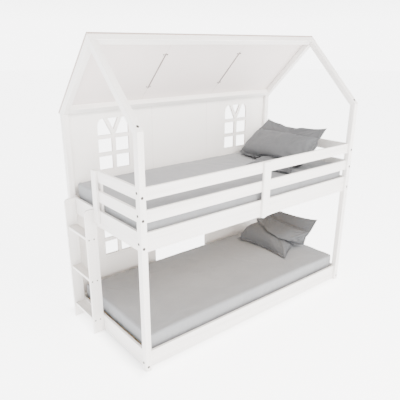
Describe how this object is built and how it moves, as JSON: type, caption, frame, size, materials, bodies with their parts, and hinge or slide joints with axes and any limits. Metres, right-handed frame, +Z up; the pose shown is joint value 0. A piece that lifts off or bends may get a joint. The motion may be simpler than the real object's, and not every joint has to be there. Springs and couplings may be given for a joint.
{
  "type": "house bunk bed",
  "caption": "Gabled timber bunk bed with a half roof, arched window walls, guard rails, steps at one end, mattresses and pillows.",
  "frame": {"origin": "the middle of the bed's footprint, at the floor", "axes": "+X along the bed, away from the step unit; +Y from the open front to the walled back; +Z up"},
  "size_m": [2.167, 1.0324, 2.0983],
  "materials": {
    "white_lacquer": "white lacquer, satin",
    "white_panel": "white foil on thin board, matt",
    "pine": "bare planed pine",
    "dark_trim": "dark joint strip",
    "sheet_cloth": "light grey cotton sheet",
    "pillow_cloth": "dark grey cotton case"
  },
  "bodies": {
    "root": {"back_eave_beam": "white_lacquer", "back_left_post": "white_lacquer", "back_right_post": "white_lacquer", "entry_stile_inner": "white_lacquer", "entry_stile_outer": "white_lacquer", "front_guard_rail_bottom": "white_lacquer", "front_guard_rail_top": "white_lacquer", "front_guard_stile": "white_lacquer", "front_left_post": "white_lacquer", "front_right_post": "white_lacquer", "left_back_rafter": "white_lacquer", "left_front_rafter": "white_lacquer", "left_guard_rail_bottom": "white_lacquer", "left_guard_rail_top": "white_lacquer", "lower_back_bearer": "pine", "lower_back_board": "white_lacquer", "lower_flat_pillow": "pillow_cloth", "lower_front_board": "white_lacquer", "lower_leaning_pillow": "pillow_cloth", "lower_left_board": "white_lacquer", "lower_mattress": "sheet_cloth", "lower_right_board": "white_lacquer", "lower_slats_on_front_bearer": "pine", "lower_wall_left": "white_panel", "lower_wall_right": "white_panel", "lower_window_sill_left": "white_lacquer", "lower_window_sill_right": "white_lacquer", "ridge_beam": "white_lacquer", "right_back_rafter": "white_lacquer", "right_front_rafter": "white_lacquer", "right_guard_rail_bottom": "white_lacquer", "right_guard_rail_top": "white_lacquer", "roof_joint_strip_left": "dark_trim", "roof_joint_strip_right": "dark_trim", "roof_panel_centre": "white_panel", "roof_panel_left": "white_panel", "roof_panel_right": "white_panel", "step_front_side": "white_lacquer", "step_rear_side": "white_lacquer", "step_tread_bottom": "white_lacquer", "step_tread_middle": "white_lacquer", "step_tread_top": "white_lacquer", "upper_back_bearer": "pine", "upper_back_board": "white_lacquer", "upper_flat_pillow": "pillow_cloth", "upper_front_board": "white_lacquer", "upper_leaning_pillow": "pillow_cloth", "upper_left_board": "white_lacquer", "upper_mattress": "sheet_cloth", "upper_right_board": "white_lacquer", "upper_slats_on_front_bearer": "pine", "upper_wall_centre": "white_panel", "upper_wall_left": "white_panel", "upper_wall_right": "white_panel"}
  },
  "joints": []
}
